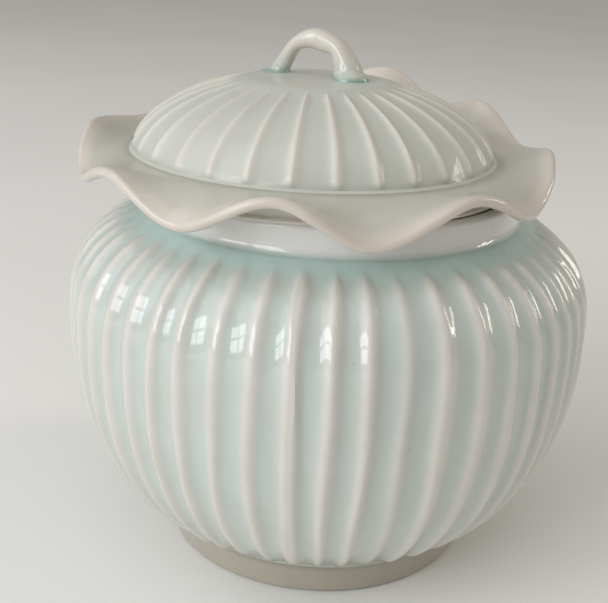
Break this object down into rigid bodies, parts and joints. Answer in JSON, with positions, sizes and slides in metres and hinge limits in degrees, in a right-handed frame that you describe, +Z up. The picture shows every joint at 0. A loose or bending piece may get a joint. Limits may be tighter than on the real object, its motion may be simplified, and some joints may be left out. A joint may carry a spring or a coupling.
{
  "type": "covered jar",
  "caption": "Fluted porcelain jar with a lift-off domed lid that has a wavy leaf brim and a loop handle; it stores rice, tea or other dry food.",
  "frame": {"origin": "centre of the foot ring's contact plane, on the jar's own axis", "axes": "+Z up along the jar's axis, -Y towards the front, where the handle's loop shows its opening; +X to the right seen from the front"},
  "size_m": [0.156, 0.156, 0.1553],
  "materials": {
    "jar_glaze": "gloss",
    "neck_glaze": "gloss",
    "foot_glaze": "gloss",
    "crown_glaze": "gloss",
    "leaf_glaze": "gloss",
    "handle_glaze": "gloss",
    "bare_porcelain": "matte"
  },
  "bodies": {
    "jar": {"jar_lower_wall": "jar_glaze", "jar_upper_wall": "jar_glaze", "jar_floor": "jar_glaze", "foot_ring": "foot_glaze", "neck_collar": "neck_glaze"},
    "lid": {"lid_dome": "crown_glaze", "lotus_leaf_brim": "leaf_glaze", "lid_locating_ring": "bare_porcelain", "handle_loop": "handle_glaze", "handle_root_left": "handle_glaze", "handle_root_right": "handle_glaze"}
  },
  "joints": [
    {"name": "lid_lift", "type": "slide", "parent": "jar", "child": "lid", "axis": [0, 0, 1], "range_m": [0, 0.08]}
  ]
}
